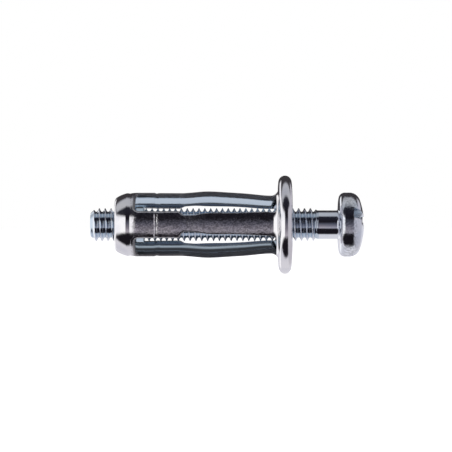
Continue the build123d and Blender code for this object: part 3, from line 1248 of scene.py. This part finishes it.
    def build(self) -> bpy.types.Object:
        """Builds and dresses the screw.

        Returns:
            The screw's object.
        """
        head_mesh = self.strike(self.shank_and_head())
        maker = MeshMaker("machine_screw")
        self.thread(maker)
        piece = maker.make(sharp_angle=50.0)
        shape = bmesh.new()
        shape.from_mesh(piece.data)
        shape.from_mesh(head_mesh)
        crisp = math.radians(32)
        for edge in shape.edges:
            if len(edge.link_faces) == 2 and edge.calc_face_angle(0.0) > crisp:
                edge.smooth = False
        for face in shape.faces:
            face.smooth = True
        self.mark_recess(shape)
        shape.to_mesh(piece.data)
        shape.free()
        piece.data.materials.clear()
        piece.data.materials.append(self.finish.material())
        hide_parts("screw")
        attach(piece, "screw")
        LOG.info("machine_screw: %d faces", len(piece.data.polygons))
        return piece


# ---------------------------------------------------------------------------------------------
# Studio
# ---------------------------------------------------------------------------------------------


@dataclass(frozen=True)
class Softbox:
    """A rectangular lamp.

    Args:
        name: Its name.
        centre: Its place, in millimetres from the middle of the plug.
        size: Its width and height, in millimetres.
        power: Its power, in watts.
    """

    name: str
    centre: tuple[float, float, float]
    size: tuple[float, float]
    power: float


@dataclass
class Studio:
    """Floor, surroundings, lamps and camera.

    Args:
        low: Lowest corner of the plug, in metres.
        high: Highest corner of the plug, in metres.
    """

    low: Vector
    high: Vector
    distance: float = 230.0
    aim: tuple[float, float] = (-6.26, -0.16)
    field_mm: float = 53.98
    sensor: float = 36.0
    lamps: tuple[Softbox, ...] = (
        Softbox("top_softbox", (0.0, -30.0, 180.0), (240.0, 160.0), 0.34),
    )

    def camera(self) -> None:
        """Makes the camera, level with the plug's axis and square to it."""
        data = bpy.data.cameras.new("camera")
        data.sensor_width = self.sensor
        data.lens = self.sensor * self.distance / self.field_mm
        data.clip_start = 0.005
        data.clip_end = 20.0
        camera = bpy.data.objects.new("camera", data)
        camera.location = Vector((self.aim[0], -self.distance, self.aim[1])) * MM
        camera.rotation_euler = (math.radians(90), 0.0, 0.0)
        bpy.context.scene.collection.objects.link(camera)
        bpy.context.scene.camera = camera

    def surroundings(self) -> None:
        """Makes the world: white where it is seen, and a studio's light and dark where it is reflected."""
        world = bpy.data.worlds.new("studio")
        world.use_nodes = True
        bpy.context.scene.world = world
        tree = world.node_tree
        tree.nodes.clear()
        out = tree.nodes.new("ShaderNodeOutputWorld")
        mix = tree.nodes.new("ShaderNodeMixShader")
        seen = tree.nodes.new("ShaderNodeBackground")
        seen.inputs["Color"].default_value = (1.0, 1.0, 1.0, 1.0)
        lit = tree.nodes.new("ShaderNodeBackground")
        path = tree.nodes.new("ShaderNodeLightPath")
        tree.links.new(path.outputs["Is Camera Ray"], mix.inputs[0])
        tree.links.new(lit.outputs[0], mix.inputs[1])
        tree.links.new(seen.outputs[0], mix.inputs[2])
        tree.links.new(mix.outputs[0], out.inputs[0])
        tree.links.new(self.reflected_studio(tree), lit.inputs["Color"])

    def reflected_studio(self, tree: bpy.types.NodeTree) -> bpy.types.NodeSocket:
        """The studio by direction: bright to the left, strips of light and dark over and under.

        Args:
            tree: The world's nodes.

        Returns:
            The colour by direction.
        """
        def calc(operation: str, *values: object) -> bpy.types.NodeSocket:
            """Adds a sum or the like and returns its result."""
            made = tree.nodes.new("ShaderNodeMath")
            made.operation = operation
            for socket, value in zip(made.inputs, values):
                if isinstance(value, bpy.types.NodeSocket):
                    tree.links.new(value, socket)
                else:
                    socket.default_value = value
            return made.outputs[0]

        def fade(value: bpy.types.NodeSocket, start: float, end: float) -> bpy.types.NodeSocket:
            """Adds a share that goes smoothly from 0 at start to 1 at end."""
            made = tree.nodes.new("ShaderNodeMapRange")
            made.interpolation_type = "SMOOTHSTEP"
            made.inputs["From Min"].default_value = start
            made.inputs["From Max"].default_value = end
            tree.links.new(value, made.inputs["Value"])
            return made.outputs[0]

        def cover(share: object, below: object, colour: tuple[float, ...]) -> bpy.types.NodeSocket:
            """Adds a colour laid over another by a share."""
            made = tree.nodes.new("ShaderNodeMix")
            made.data_type = "RGBA"
            tree.links.new(share, made.inputs[0])
            tree.links.new(below, made.inputs[6])
            made.inputs[7].default_value = (*colour, 1.0)
            return made.outputs[2]

        direction = tree.nodes.new("ShaderNodeTexCoord").outputs["Generated"]
        split = tree.nodes.new("ShaderNodeSeparateXYZ")
        tree.links.new(direction, split.inputs[0])
        x, y, z = split.outputs
        swing = calc("ARCTAN2", z, calc("MULTIPLY", y, -1.0))
        share = calc("ADD", calc("DIVIDE", swing, 2 * math.pi), 0.5)
        ramp = tree.nodes.new("ShaderNodeValToRGB")
        light, lilac, dusk = (0.52, 0.53, 0.56), (0.76, 0.75, 0.80), (0.012, 0.010, 0.014)
        loft = (0.05, 0.046, 0.05)
        stops = (
            (-180, lilac), (-90, lilac), (-79, dusk), (-34, dusk), (-26, (0.46, 0.43, 0.48)),
            (-12, (0.24, 0.22, 0.26)), (6, (0.10, 0.10, 0.13)), (20, dusk), (66, (0.02, 0.02, 0.03)),
            (76, light), (110, light), (122, loft), (180, loft),
        )
        elements = ramp.color_ramp.elements
        while len(elements) < len(stops):
            elements.new(0.5)
        for element, (angle, colour) in zip(elements, stops):
            element.position = (angle + 180) / 360
            element.color = (*colour, 1.0)
        tree.links.new(share, ramp.inputs["Fac"])
        framed = cover(fade(x, -0.74, -0.90), ramp.outputs["Color"], (0.10, 0.09, 0.10))
        left, level = fade(x, -0.34, -0.44), fade(calc("ABSOLUTE", z), 0.56, 0.36)
        bright = cover(calc("MULTIPLY", left, level), framed, (1.15, 1.14, 1.15))
        right, under = fade(x, 0.42, 0.62), fade(z, 0.62, 0.48)
        return cover(calc("MULTIPLY", right, under), bright, (0.60, 0.58, 0.63))

    def floor(self) -> None:
        """Makes the floor that the flange stands on: pale, white to the eye, with the plug's shadow."""
        half = 3.0
        mesh = bpy.data.meshes.new("floor")
        level = self.low.z
        corners = [(-half, -half, level), (half, -half, level), (half, half, level), (-half, half, level)]
        mesh.from_pydata(corners, [], [(0, 1, 2, 3)])
        floor = bpy.data.objects.new("floor", mesh)
        bpy.context.scene.collection.objects.link(floor)
        floor.visible_glossy = False
        board = NodeBoard("floor_card")
        paper = board.node("ShaderNodeBsdfDiffuse")
        paper.inputs["Color"].default_value = (0.8, 0.8, 0.8, 1.0)
        glow = board.node("ShaderNodeEmission")
        glow.inputs["Strength"].default_value = 0.78
        both = board.node("ShaderNodeAddShader")
        mix = board.node("ShaderNodeMixShader")
        path = board.node("ShaderNodeLightPath")
        out = board.node("ShaderNodeOutputMaterial")
        board.link(paper.outputs[0], both.inputs[0])
        board.link(glow.outputs[0], both.inputs[1])
        board.link(path.outputs["Is Camera Ray"], mix.inputs[0])
        board.link(paper.outputs[0], mix.inputs[1])
        board.link(both.outputs[0], mix.inputs[2])
        board.link(mix.outputs[0], out.inputs[0])
        mesh.materials.append(board.material)
        floor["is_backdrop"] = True

    def light(self) -> None:
        """Makes the lamps, each aimed at the plug."""
        middle = (self.low + self.high) / 2
        for box in self.lamps:
            data = bpy.data.lights.new(box.name, "AREA")
            data.shape = "RECTANGLE"
            data.size, data.size_y = box.size[0] * MM, box.size[1] * MM
            data.energy = box.power
            lamp = bpy.data.objects.new(box.name, data)
            lamp.location = middle + Vector(box.centre) * MM
            lamp.rotation_euler = (middle - lamp.location).to_track_quat("-Z", "Y").to_euler()
            lamp.visible_glossy = False
            bpy.context.scene.collection.objects.link(lamp)

    def build(self) -> None:
        """Sets the picture's colour handling and builds everything."""
        bpy.context.scene.view_settings.view_transform = "Standard"
        self.camera()
        self.surroundings()
        self.floor()
        self.light()


def main() -> None:
    """Loads the frame and builds the plug's pieces and the studio around it."""
    logging.basicConfig(level=logging.INFO, format="%(name)s: %(message)s")
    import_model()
    frame_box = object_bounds()
    sleeve_low, sleeve_high = (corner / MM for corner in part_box("sleeve"))
    screw_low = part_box("screw")[0] / MM
    sleeve_finish = ZincFinish(
        "sleeve_bright_zinc", (0.84, 0.83, 0.84), (0.72, 0.72, 0.77), (0.58, 0.68, 0.76),
        roughness=0.10, grain=1.5e-5, grain_size=1.7e-4, plain_grain=0.16,
    )
    screw_finish = ZincFinish(
        "screw_blue_zinc", (0.82, 0.84, 0.88), (0.70, 0.75, 0.84), (0.46, 0.56, 0.66),
        roughness=0.09, grain=1.2e-5, grain_size=2.2e-4, plain_grain=0.12,
    )
    flange_r = min(sleeve_high.y, sleeve_high.z)
    sleeve = Sleeve(-sleeve_low.x, flange_r, sleeve_high.x, sleeve_finish, flange_reach=flange_r - 3.87)
    screw = Screw(screw_low.x, 10.2, 3.83, screw_finish)
    for part in (sleeve, screw):
        LOG.info("built %s", part.build().name)
    Studio(*frame_box).build()


if __name__ == "__main__":
    main()
